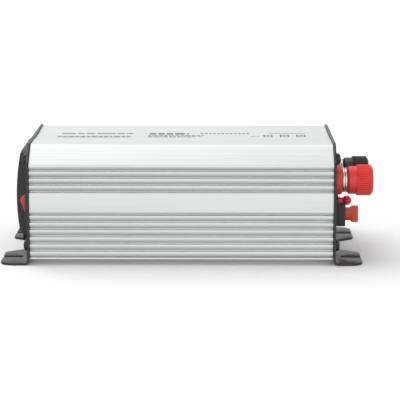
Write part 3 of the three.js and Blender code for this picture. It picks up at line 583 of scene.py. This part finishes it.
def screw_set(name, screw, places, face, facing, nodes):
    """Sets one screw at each place by a node tree.  The places are points of the piece."""
    points = bmesh.new()
    for y, z in places:
        points.verts.new((face, facing * y, z))
    turn = Euler((0.4, 0, 0 if facing > 0 else math.pi))
    tree = NodeTree(name, Screw=("Object", screw), Turn=("Rotation", tuple(turn)))
    screws = tree.add("GeometryNodeInstanceOnPoints", inputs={
        "Points": tree.input("Geometry"), "Instance": tree.model("Screw"),
        "Rotation": tree.input("Turn")})
    piece = tree.run(new_piece(name, points), screws, black_zinc)
    finished(piece, nodes, crease=38)


plate_screw = pan_head("plate_screw", 1.9, 3.75, 2.8, 12)
fan_screw = pan_head("fan_screw", 1.3, 2.8, 1.9, 9)
fascia_screw = pan_head("fascia_screw", 1.3, 2.9, 2, 10)
for name, face, facing in (("ac", mains_face, -1), ("dc", battery_face, 1)):
    screw_set(name + "_plate_screws", plate_screw, plate_screw_places, face, facing,
              [f"{name}_plate_screw_{number}" for number in (1, 2, 3, 4)])
screw_set("fan_screws", fan_screw, fan_corners, battery_face, 1,
          [f"fan_screw_{number}" for number in (1, 2, 3, 4)])
screw_set("fascia_screws", fascia_screw, fascia_screw_places, mains_face - 4.6, -1,
          ["fascia_screw_1", "fascia_screw_2"])
for source in (plate_screw, fan_screw, fascia_screw):
    bpy.data.objects.remove(source)

# --- Mains socket --------------------------------------------------------------------------------
# The fascia is one black moulding with a bowed front and a deep round recess, spark-eroded to a
# fine grain.  Two screws hold it.  Behind the recess floor sit the shutter, a rear moulding with
# the two pin contacts, and a bent strap whose sprung ends are the earth clips.

crest, base_face = 9.1, 0.3
fascia_low, fascia_front_low, fascia_high = 11.1, 16.6, 69.8
recess_floor = crest - 17.5
cup_end = recess_floor - 5


def mains(out):
    """A place so far out from the mains plate's face, along X."""
    return mains_face - out


bow_radius = 147
bow_turns = [math.asin((z - socket_z) / bow_radius) for z in (fascia_high, fascia_front_low)]
bow = [(mains(x), z) for x, z in arc(crest - bow_radius, socket_z, bow_radius, *bow_turns, 24)]
front = eased([(mains(base_face), fascia_high), *bow, (mains(5.4), fascia_front_low),
               (mains(5.4), fascia_low), (mains(base_face), fascia_low)])
fascia_middle = (fascia_low + fascia_high) / 2
outline = rounded_box(0, fascia_middle, 64, fascia_high - fascia_low, 4, 8)
steps = [
    ("INTERSECT", prism(outline, "x", mains(20), mains(-1))),
    ("UNION", rod(recess_radius + 2, mains(1), mains(cup_end), 0, socket_z, 96)),
    rod(recess_radius, mains(crest + 2), mains(recess_floor), 0, socket_z, 96),
    rod(recess_radius - 1, mains(recess_floor - 2.4), mains(cup_end - 1), 0, socket_z, 96)]
for side in (1, -1):
    steps.append(rod(3, mains(crest), mains(cup_end - 1), side * 9.5, socket_z, 40))
    steps.append(slab(
        (mains(cup_end - 1), mains(crest - 4)), (-3.4, 3.4),
        (socket_z + side * (recess_radius - 2.6), socket_z + side * (recess_radius + 0.8))))
for y, z in fascia_screw_places:
    steps.append(rod(1.6, mains(-3), mains(8), -y, z, 24))
    steps.append(rod(3.4, mains(4.6), mains(12), -y, z, 40))
fascia = carved("socket_fascia_moulding", prism(front, "y", -32, 32), steps, 0.45, 3)

moulded = new_material("black_moulding", 250, (0.017, 0.018, 0.019), (0.026, 0.027, 0.028),
                       0.4, 0.52)
embossed(moulded, (2200, 0.03, (1, 1, 1), 2))
finished(fascia, ["socket_fascia"], moulded)


def dressed(nodes, material):
    """Gives nodes that stay as they are their finish."""
    for node in nodes:
        for place in bpy.data.objects[node].material_slots:
            place.material = material


ivory = new_material("shutter_plastic", 400, (0.66, 0.64, 0.57), (0.74, 0.72, 0.65), 0.4, 0.55)
brass = new_material("contact_brass", 300, (0.62, 0.44, 0.18), (0.8, 0.62, 0.3), 0.22, 0.4, 1,
                     ((0.1, 1, 1),))
nickel = new_material("nickel_plate", 700, (0.62, 0.6, 0.56), (0.76, 0.74, 0.7), 0.16, 0.3, 1)
embossed(nickel, (1800, 0.008))
shutter_box = node_box("socket_shutter")
shutter = carved("turning_shutter", centred(
    (shutter_box[0][0], shutter_box[1][0]), 0, socket_z, 14, 3.8, 2.2), [rod(
        1.7, shutter_box[0][0] - 1, shutter_box[1][0] + 1, 0, socket_z, 32)], 0.2)
finished(shutter, ["socket_shutter"], ivory, "shutter")
dressed(["socket_back"], moulded)
dressed(["live_contact", "neutral_contact"], brass)

strap_box = node_box("earth_strap")
strap_tip, strap_back = strap_box[0][0], strap_box[1][0]
strap = []
for side in (1, -1):
    z_out, z_in = socket_z + side * 19.1, socket_z + side * 18.2
    spring = [(strap_back, z_out), (strap_tip + 5.5, z_out), (strap_tip + 4.2, z_in - side * 1.3),
              (strap_tip, z_out), (strap_tip, z_in), (strap_tip + 4.2, z_in - side * 2.1),
              (strap_tip + 6.2, z_in), (strap_back - 0.9, z_in), (strap_back - 0.9, socket_z),
              (strap_back, socket_z)]
    strap.append(prism(eased(spring, 0.35), "y", -2.6, 2.6))
finished(new_piece("earth_clip_strap", strap), ["earth_strap"], nickel)

# --- Rocker switch -------------------------------------------------------------------------------
# A red nylon rocker pivoted in a black bezel that snaps into the mains plate.  Its two finger
# faces meet in a shallow valley and carry the white line and circle moulded flush with them.

switch_y, switch_z = -switch_place[0], switch_place[1]
bezel = carved("rocker_bezel", prism(rounded_box(switch_y, switch_z, 10.6, 15.2, 1), "x",
                                     mains(1.9), mains(0.3)), [
    ("UNION", centred((mains(-15.2), mains(0.8)), switch_y, switch_z, 4.5, 7.2)),
    centred((mains(-3.4), mains(5)), switch_y, switch_z, 4, 6.6)], 0.35, 3)
finished(bezel, ["switch_bezel"], moulded)

red_nylon = new_material("red_nylon", 350, (0.72, 0.025, 0.022), (0.83, 0.036, 0.03), 0.28, 0.4,
                         sockets=[("Subsurface Weight", 0.05)])
white_mark = new_material("white_mark", 900, (0.74, 0.74, 0.72), (0.84, 0.84, 0.82), 0.4, 0.5)
rocker_radius, valley, lean = 6.3, 3.8, math.radians(20)
nose, under = math.radians(50), math.radians(95)
side_view = [(valley, 0, 0.8), *arc(0, 0, rocker_radius, nose, under, 10), (-1.6, 2), (-1.6, -2),
             *arc(0, 0, rocker_radius, -under, -nose, 10)]
rocker = carved("rocker_paddle", prism(eased(side_view), "y", -3.65, 3.65), [], 0.35, 3)
face_tip = Vector((rocker_radius * math.cos(nose), rocker_radius * math.sin(nose)))
slope = (face_tip - Vector((valley, 0))).normalized()
outward = Vector((slope.y, -slope.x))


def on_finger_face(along, height):
    spot = Vector((valley, 0)) + slope * along + outward * height
    return spot.x, spot.y


line_mark = prism([on_finger_face(1.2, -0.3), on_finger_face(3.4, -0.3),
                   on_finger_face(3.4, 0.03), on_finger_face(1.2, 0.03)], "y", -0.3, 0.3)
circle_mark = tube(1.25, 0.8, -0.3, 0.03, steps=32)
for vertex in circle_mark.verts:
    x, y, z = vertex.co
    out, up = on_finger_face(2.3 + z, x)
    vertex.co = (out, y, -up)
bmesh.ops.recalc_face_normals(circle_mark, faces=circle_mark.faces)
marks = new_piece("rocker_marks", [line_mark, circle_mark])
for part, name, material in ((rocker, "rocker", red_nylon), (marks, "marks", white_mark)):
    part.data.transform(Matrix.Rotation(lean, 4, "Y"))
    part.data.transform(Matrix.Translation((mains(-0.2), switch_y, switch_z))
                        @ Matrix.Rotation(math.pi, 4, "Z"))
finished(rocker, ["switch_rocker"], red_nylon, "rocker")
finished(marks, [], white_mark, "rocker")

# --- Charging port and indicator lamps -----------------------------------------------------------
# A folded, nickel plated shell with its white tongue, and two tinted domed lenses pushed through
# the plate under it.

port_y, port_z = -port_place[0], port_place[1]
port_shell = carved("charging_port_shell", prism(
    rounded_box(port_y, port_z, 7.2, 14.6, 0.8), "x", mains(1.2), mains(-13)), [
    prism(rounded_box(port_y, port_z, 5.6, 13, 0.5), "x", mains(3), mains(-11.5))], 0.15)
finished(port_shell, ["usb_shell"], nickel)
dressed(["usb_tongue"], white_mark)
for node, color, slot in (("power_led", (0.05, 0.5, 0.12), "green_lens"),
                          ("fault_led", (0.55, 0.04, 0.03), "red_lens")):
    low, high = node_box(node)
    lens_z, lens_y = (low[2] + high[2]) / 2, (low[1] + high[1]) / 2
    dome = [(0, -6), (1.5, -6), (1.5, 0.7), (1.42, 1.2), (1.2, 1.6), (0.85, 1.9), (0.45, 2.05),
            (0, 2.1)]
    lens = turned([(radius, mains(out)) for radius, out in dome], lens_y, lens_z, 40)
    tinted = new_material(slot, 500, tuple(c * 0.85 for c in color), color, 0.08, 0.16,
                          sockets=[("Transmission Weight", 0.35)])
    finished(new_piece(slot.replace("lens", "lamp"), lens), [node], tinted)

# --- Binding posts -------------------------------------------------------------------------------
# Each battery terminal is an insulating base, an M6 stud with its collar and its nut behind the
# plate, a loose plated washer and a moulded knob with fine ribs round its cap.

post_x = battery_face
pitch, thread_depth, stud_radius = 1.0, 0.3, 2.9


def threaded(x0, x1, y, z, steps=36, rows=7):
    """A rod with a right-hand thread that runs out over the last turn at each end."""
    bm = bmesh.new()
    levels = int((x1 - x0) / pitch * rows)
    rings = []
    for level in range(levels + 1):
        x = x0 + (x1 - x0) * level / levels
        fade = min(1, (x - x0) / pitch, (x1 - x) / pitch)
        loop = []
        for step in range(steps):
            turn = 2 * math.pi * step / steps
            phase = (x / pitch - turn / (2 * math.pi)) % 1
            cut = thread_depth * fade * abs(2 * phase - 1)
            radius = stud_radius - cut - 0.35 * max(0, 1 - (x1 - x) / 0.5)
            loop.append(bm.verts.new((x, y + radius * math.cos(turn),
                                      z + radius * math.sin(turn))))
        rings.append(loop)
    for one, two in zip(rings, rings[1:]):
        for step in range(steps):
            after = (step + 1) % steps
            bm.faces.new([one[step], one[after], two[after], two[step]])
    bm.faces.new(rings[0])
    bm.faces.new(rings[-1])
    bmesh.ops.recalc_face_normals(bm, faces=bm.faces)
    return bm


def from_plate(profile):
    return [(radius, post_x + out, *own) for radius, out, *own in profile]


def ribbed_knob(name, y, z, material):
    """The knob's turned body, with the ribs of its cap set round it by a node tree."""
    body = turned(eased(from_plate([
        (3.3, 8.6), (8.0, 8.6, 0.3), (9.1, 9.7, 0.5), (9.1, 14.5), (9.3, 14.5), (9.3, 24.2, 0.4),
        (8.5, 25.2, 0.7), (5.6, 25.7, 1.5), (0, 25.7), (0, 23.1), (3.3, 23.1)]), steps=4),
        y, z, 108, True)
    tree = NodeTree(name, Ribs=("Int", 40), Ring_radius=("Float", 9.54), Rib_radius=("Float", 0.58),
                    Rib_length=("Float", 9.3), Middle=("Vector", (post_x + 19.4, y, z)))
    circle = tree.add("GeometryNodeMeshCircle", inputs={
        "Vertices": tree.input("Ribs"), "Radius": tree.input("Ring radius")})
    circle = tree.add("GeometryNodeTransform", inputs={
        "Geometry": circle, "Rotation": Euler((0, math.pi / 2, 0)),
        "Translation": tree.input("Middle")})
    rib = tree.add("GeometryNodeMeshCylinder", {"fill_type": "NGON"}, {
        "Vertices": 10, "Side Segments": 1, "Radius": tree.input("Rib radius"),
        "Depth": tree.input("Rib length")})
    rib = tree.add("GeometryNodeTransform", inputs={
        "Geometry": rib, "Rotation": Euler((0, math.pi / 2, 0))})
    ribs = tree.add("GeometryNodeInstanceOnPoints", inputs={"Points": circle, "Instance": rib})
    both = tree.add("GeometryNodeJoinGeometry", inputs={"Geometry": [ribs, tree.input("Geometry")]})
    return tree.run(new_piece(name, body), both, material)


red_moulding = new_material("red_moulding", 260, (0.8, 0.04, 0.032), (0.88, 0.052, 0.042),
                            0.34, 0.46)
coal_moulding = new_material("coal_moulding", 260, (0.018, 0.019, 0.02), (0.032, 0.033, 0.034),
                             0.36, 0.5)
for plastic in (red_moulding, coal_moulding):
    embossed(plastic, (2400, 0.015))


def hexagon(y, z, corner, ease):
    return eased([(y + corner * math.cos(k * math.pi / 3), z + corner * math.sin(k * math.pi / 3))
                  for k in range(6)], ease)


for color, y, plastic in (("red", red_place, red_moulding), ("black", black_place, coal_moulding)):
    z, slot = terminal_z, color + "_terminal"
    base = turned(eased(from_plate([
        (3.3, -3), (4.7, -3, 0.3), (4.7, 0.3), (9.6, 0.3, 0.2), (9.6, 4.7, 0.5), (8.8, 5.4, 0.3),
        (3.3, 5.4)])), y, z, 72, True)
    finished(new_piece(color + "_post_base", base), [slot + "_base"], plastic)
    stud = new_piece(color + "_post_stud", [
        rod(stud_radius - thread_depth, post_x - 16, post_x + 7.4, y, z, 36),
        threaded(post_x - 16, post_x - 7.2, y, z), threaded(post_x + 6.8, post_x + 21.5, y, z),
        rod(stud_radius, post_x - 3.6, post_x + 6.8, y, z, 36),
        turned(eased(from_plate([(2, 5.7), (8.1, 5.7, 0.25), (8.1, 6.9, 0.25), (2, 6.9)])),
               y, z, 72, True),
        prism(hexagon(y, z, 5.6, 0.3), "x", post_x - 7, post_x - 3.3)])
    finished(stud, [slot + "_stud"], nickel)
    washer = tube(8.1, 3.3, post_x + 7.2, post_x + 8.3, y, z, 72, 0.25)
    finished(new_piece(color + "_post_washer", washer), [slot + "_washer"], nickel,
             color + "_washer")
    knob = ribbed_knob(color + "_post_knob", y, z, plastic)
    finished(knob, [slot + "_knob"], None, color + "_knob")

# --- Breaker and its reset button ----------------------------------------------------------------
# A thermal breaker held in the plate by a thin hexagon nut.  Its crimson button springs out of
# the bushing and is pressed to reset it.

breaker_y, breaker_z = breaker_place
nut = carved("bushing_nut", prism(hexagon(breaker_y, breaker_z, 6.3, 0.2), "x",
                                  post_x + 0.3, post_x + 2.6),
             [rod(4.5, post_x - 1, post_x + 4, breaker_y, breaker_z, 48)], 0.2)
finished(nut, ["breaker_nut"], nickel)
can = carved("breaker_case", centred(
    (post_x - 22, post_x - 1.9), breaker_y, breaker_z, 6.5, 5.5, 0.6), [
    ("UNION", turned(eased(from_plate([(0, -2.4), (4.2, -2.4), (4.2, 4.2, 0.4), (0, 4.2)]),
                           closed=False), breaker_y, breaker_z, 48)),
    rod(2.7, post_x - 12, post_x + 5, breaker_y, breaker_z, 40)], 0.15)
finished(can, ["breaker_body"], moulded)
button_ball = [(radius, x) for x, radius in arc(9.95, 0, 3.15, math.radians(143), 0, 14)]
button = turned(eased(from_plate([
    (0, -8), (2.3, -8, 0.2), (2.3, 5.4, 0.3), (1.9, 6, 0.2), (1.9, 7.1, 0.3), *button_ball]),
    closed=False, steps=4), breaker_y, breaker_z, 48)
crimson = new_material("crimson_button", 500, (0.74, 0.013, 0.06), (0.85, 0.02, 0.085), 0.18, 0.28)
finished(new_piece("breaker_button", button), ["reset_button"], crimson,
         "reset_button")

# --- Fuse ----------------------------------------------------------------------------------------
# A small blade fuse in a black holder: its head and body are one clear orange-red moulding over a
# tinned zinc link, whose two blades go into the holder's slots.

fuse_y, fuse_z = fuse_place
holder_steps = [
    ("UNION", centred((post_x - 16, post_x + 0.8), fuse_y, fuse_z, 4.4, 7.4)),
    centred((post_x + 5.3, post_x + 12), fuse_y, fuse_z, 2.3, 4.6, 0.6)]
for side in (1, -1):
    holder_steps.append(centred((post_x - 10, post_x + 8), fuse_y, fuse_z + side * 2.3, 0.8, 1.4))
holder = carved("fuse_holder_moulding", prism(
    rounded_box(fuse_y, fuse_z, 10, 16, 1.6), "x", post_x + 0.3, post_x + 9.9),
    holder_steps, 0.4, 3)
finished(holder, ["fuse_holder"], moulded)
waist, neck, fuse_out, head_half = 4.2, post_x + 13.3, post_x + 18.7, 5.45
half_fuse = [(post_x + 6.1, waist, 0.3), (neck, waist, 0.5), (neck + 1.2, head_half, 0.6),
             (fuse_out, head_half, 0.7)]
side_of_fuse = eased([(x, fuse_z - half, round_off) for x, half, round_off in half_fuse]
                     + [(x, fuse_z + half, round_off) for x, half, round_off in half_fuse[::-1]])
fuse = carved("fuse_moulding", prism(side_of_fuse, "y", fuse_y - 1.8, fuse_y + 1.8), [
    centred((post_x + 5, fuse_out - 1.6), fuse_y, fuse_z, 0.9, waist - 0.5)], 0.25)
amber = new_material("clear_orange_red", 300, (0.84, 0.042, 0.002), (0.95, 0.075, 0.004), 0.1, 0.2,
                     sockets=[("Transmission Weight", 0.3)])
finished(fuse, ["fuse_body"], amber, "fuse")
tin = new_material("tinned_zinc", 800, (0.5, 0.5, 0.48), (0.66, 0.66, 0.64), 0.28, 0.45, 1)
dressed(["fuse_link"], tin)

# --- Fan -----------------------------------------------------------------------------------------
# A 40 mm fan stands behind the guard that is punched in the battery plate: a square frame with a
# round throat and four arms, and a hub with seven swept blades.

fan_y, fan_z = fan_place
(fan_back, _, _), (fan_front, _, _) = node_box("fan_frame")
frame_steps = [rod(18.4, fan_back + 1.4, fan_front + 1, fan_y, fan_z, 96),
               tube(18.4, 8, fan_back - 1, fan_back + 2, fan_y, fan_z, 96)]
for y, z in fan_corners:
    frame_steps.append(rod(1.7, fan_back - 1, fan_front + 1, y, z, 24))
frame_steps.append(rod(1.2, fan_back - 1, fan_front, fan_y, fan_z, 24))
fan_frame = carved("fan_housing", prism(rounded_box(fan_y, fan_z, 40, 40, 2.5), "x", fan_back,
                                        fan_front), frame_steps)
arm_depth, arm_middle, arm_half, arm_thin = (fan_back, fan_back + 1.4), 13.3, 5.7, 1.2
arms = [centred(arm_depth, fan_y + side * arm_middle, fan_z, arm_half, arm_thin)
        for side in (-1, 1)]
arms += [centred(arm_depth, fan_y, fan_z + side * arm_middle, arm_thin, arm_half)
         for side in (-1, 1)]
fan_arms = new_piece("fan_arms", arms)
for part, nodes in ((fan_frame, ["fan_frame"]), (fan_arms, [])):
    finished(part, nodes, moulded)

(rotor_back, _, _), (rotor_front, _, _) = node_box("fan_rotor")
hub = turned(eased([(0, rotor_back + 0.6), (0.8, rotor_back + 0.6), (0.8, rotor_back + 1.7),
                    (7.6, rotor_back + 1.7, 0.3), (7.6, rotor_front, 1.2), (0, rotor_front)],
                   closed=False, steps=5), fan_y, fan_z, 64)
blade = bmesh.new()
rows, across, blade_root, blade_tip = 8, 8, 7.2, 17.3
rims = []
for side in (0.35, -0.35):
    net = []
    for row in range(rows + 1):
        reach = blade_root + (blade_tip - blade_root) * row / rows
        line = []
        for column in range(across + 1):
            t = column / across - 0.5
            lean_back = math.radians(8 + 18 * row / rows)
            turn = t * math.radians(34) + lean_back * (row / rows)
            x = (rotor_back + 1.7 + rotor_front) / 2 + t * 5.6 + side
            line.append(blade.verts.new((x, reach * math.sin(turn), reach * math.cos(turn))))
        net.append(line)
    for one, two in zip(net, net[1:]):
        for k in range(across):
            blade.faces.new([one[k], one[k + 1], two[k + 1], two[k]])
    rims.append([line[0] for line in net] + net[-1][1:] + [line[-1] for line in net[-2::-1]]
                + net[0][-2:0:-1])
for k, (one, two) in enumerate(zip(*rims)):
    after = (k + 1) % len(rims[0])
    blade.faces.new([one, rims[0][after], rims[1][after], two])
bmesh.ops.recalc_face_normals(blade, faces=blade.faces)
blade_source = new_piece("blade", blade)
tree = NodeTree("fan_blades", Blade=("Object", blade_source), Blades=("Int", 7),
                Hub=("Vector", (0, fan_y, fan_z)))
points = tree.add("GeometryNodeMeshLine", inputs={
    "Count": tree.input("Blades"), "Offset": (0, 0, 0)})
number = tree.add("GeometryNodeInputIndex")
share = tree.add("ShaderNodeMath", {"operation": "DIVIDE"}, {0: number, 1: tree.input("Blades")})
angle = tree.add("ShaderNodeMath", {"operation": "MULTIPLY"}, {0: share, 1: 2 * math.pi})
turn = tree.add("FunctionNodeAxisAngleToRotation", inputs={"Axis": (1, 0, 0), "Angle": angle})
blades = tree.add("GeometryNodeInstanceOnPoints", inputs={
    "Points": points, "Instance": tree.model("Blade"), "Rotation": turn})
blades = tree.add("GeometryNodeTransform", inputs={
    "Geometry": blades, "Translation": tree.input("Hub")})
both = tree.add("GeometryNodeJoinGeometry", inputs={"Geometry": [blades, tree.input("Geometry")]})
rotor = tree.run(new_piece("fan_wheel", hub), both, moulded)
bpy.data.objects.remove(blade_source)
finished(rotor, ["fan_rotor"], None, "fan_rotor")

# --- Inside --------------------------------------------------------------------------------------
# The board with its transformer, capacitors and choke, the transistors clamped to both walls and
# the two leads from the battery posts.  Little of it shows through the guard.

inside = {
    "green_resist": ((0.02, 0.16, 0.06), 0, 0.4, 900, ["circuit_board"]),
    "dark_ferrite": ((0.05, 0.05, 0.055), 0.1, 0.6, 700, ["transformer_core"]),
    "yellow_tape": ((0.65, 0.42, 0.05), 0, 0.35, 500, ["transformer_winding"]),
    "blue_sleeve": ((0.03, 0.05, 0.14), 0, 0.3, 400, ["input_capacitor", "output_capacitor"]),
    "enamelled_copper": ((0.55, 0.2, 0.07), 0.8, 0.3, 600, ["output_choke"]),
    "epoxy_case": ((0.03, 0.03, 0.032), 0, 0.5, 1200,
                   ["power_transistor_1", "power_transistor_2", "power_transistor_3",
                    "power_transistor_4"]),
    "mill_aluminium": ((0.6, 0.6, 0.6), 1, 0.4, 800, ["near_clamp_bar", "far_clamp_bar"]),
    "red_sleeving": ((0.45, 0.02, 0.02), 0, 0.4, 500, ["red_dc_lead"]),
    "black_sleeving": ((0.02, 0.02, 0.02), 0, 0.4, 500, ["black_dc_lead"]),
}
for name, (color, metallic, roughness, scale, nodes) in inside.items():
    finish = new_material(name, scale, tuple(c * 0.8 for c in color),
                          tuple(c * 1.15 for c in color), roughness - 0.06, roughness + 0.08,
                          metallic)
    embossed(finish, (scale * 3, 0.02))
    dressed(nodes, finish)

# --- Studio --------------------------------------------------------------------------------------
# A white sheet of paper in a pale room that is brighter in front and plain white to the camera.
# Reflections see the room where the paper is.  One wide soft lamp stands above and behind to the
# left, and a long lens a little above the object, square to its long side.

camera = bpy.data.objects.new("camera", bpy.data.cameras.new("camera"))
bpy.context.collection.objects.link(camera)
camera.data.lens = 159.3
camera.data.sensor_width = 36
camera.data.clip_end = 50
camera.location = (0.0169, -1.1745, 0.2452)
aim = Vector((0.008, -0.06, 0.0429))
camera.rotation_euler = (aim - camera.location).to_track_quat("-Z", "Y").to_euler()
bpy.context.scene.camera = camera
bpy.context.scene.view_settings.view_transform = "Standard"

paper_sheet = bmesh.new()
bmesh.ops.create_grid(paper_sheet, x_segments=1, y_segments=1, size=8)
floor = new_piece("paper_floor", paper_sheet)
paper = new_material("white_paper", 100, (0.97, 0.97, 0.97), (0.97, 0.97, 0.97), 0.9, 0.9)
floor.data.materials.append(paper)
floor.visible_diffuse = floor.visible_glossy = False

world = bpy.data.worlds.new("studio")
bpy.context.scene.world = world
world.use_nodes = True
tree = world.node_tree
sky = tree.nodes["Background"]
toward = tree.nodes.new("ShaderNodeTexCoord")
split = tree.nodes.new("ShaderNodeSeparateXYZ")
tree.links.new(toward.outputs["Generated"], split.inputs["Vector"])
total = between(world, split.outputs["Z"], 0.32, 0.77, -0.7, 0.1)
front = between(world, split.outputs["Y"], 0.0, 0.7, -0.45, -0.95)
zenith = between(world, split.outputs["Z"], 0.0, -0.3, 0.3, 1)
for part in (front, zenith):
    adding = tree.nodes.new("ShaderNodeMath")
    adding.operation = "ADD"
    tree.links.new(total, adding.inputs[0])
    tree.links.new(part, adding.inputs[1])
    total = adding.outputs[0]
seen = tree.nodes.new("ShaderNodeLightPath")
level = between(world, seen.outputs["Is Camera Ray"], 0, 1, 0, 1)
tree.links.new(total, level.node.inputs["To Min"])
tree.links.new(level, sky.inputs["Strength"])
sky.inputs["Color"].default_value = (1, 1, 1, 1)

light = bpy.data.lights.new("key_lamp", "SUN")
light.energy = 1.5
light.angle = math.radians(60)
lamp = bpy.data.objects.new("key_lamp", light)
bpy.context.collection.objects.link(lamp)
lamp.location = (-0.4, 0.4, 0.95)
lamp_aim = Vector((0, 0, 0.03))
lamp.rotation_euler = (lamp_aim - lamp.location).to_track_quat("-Z", "Y").to_euler()
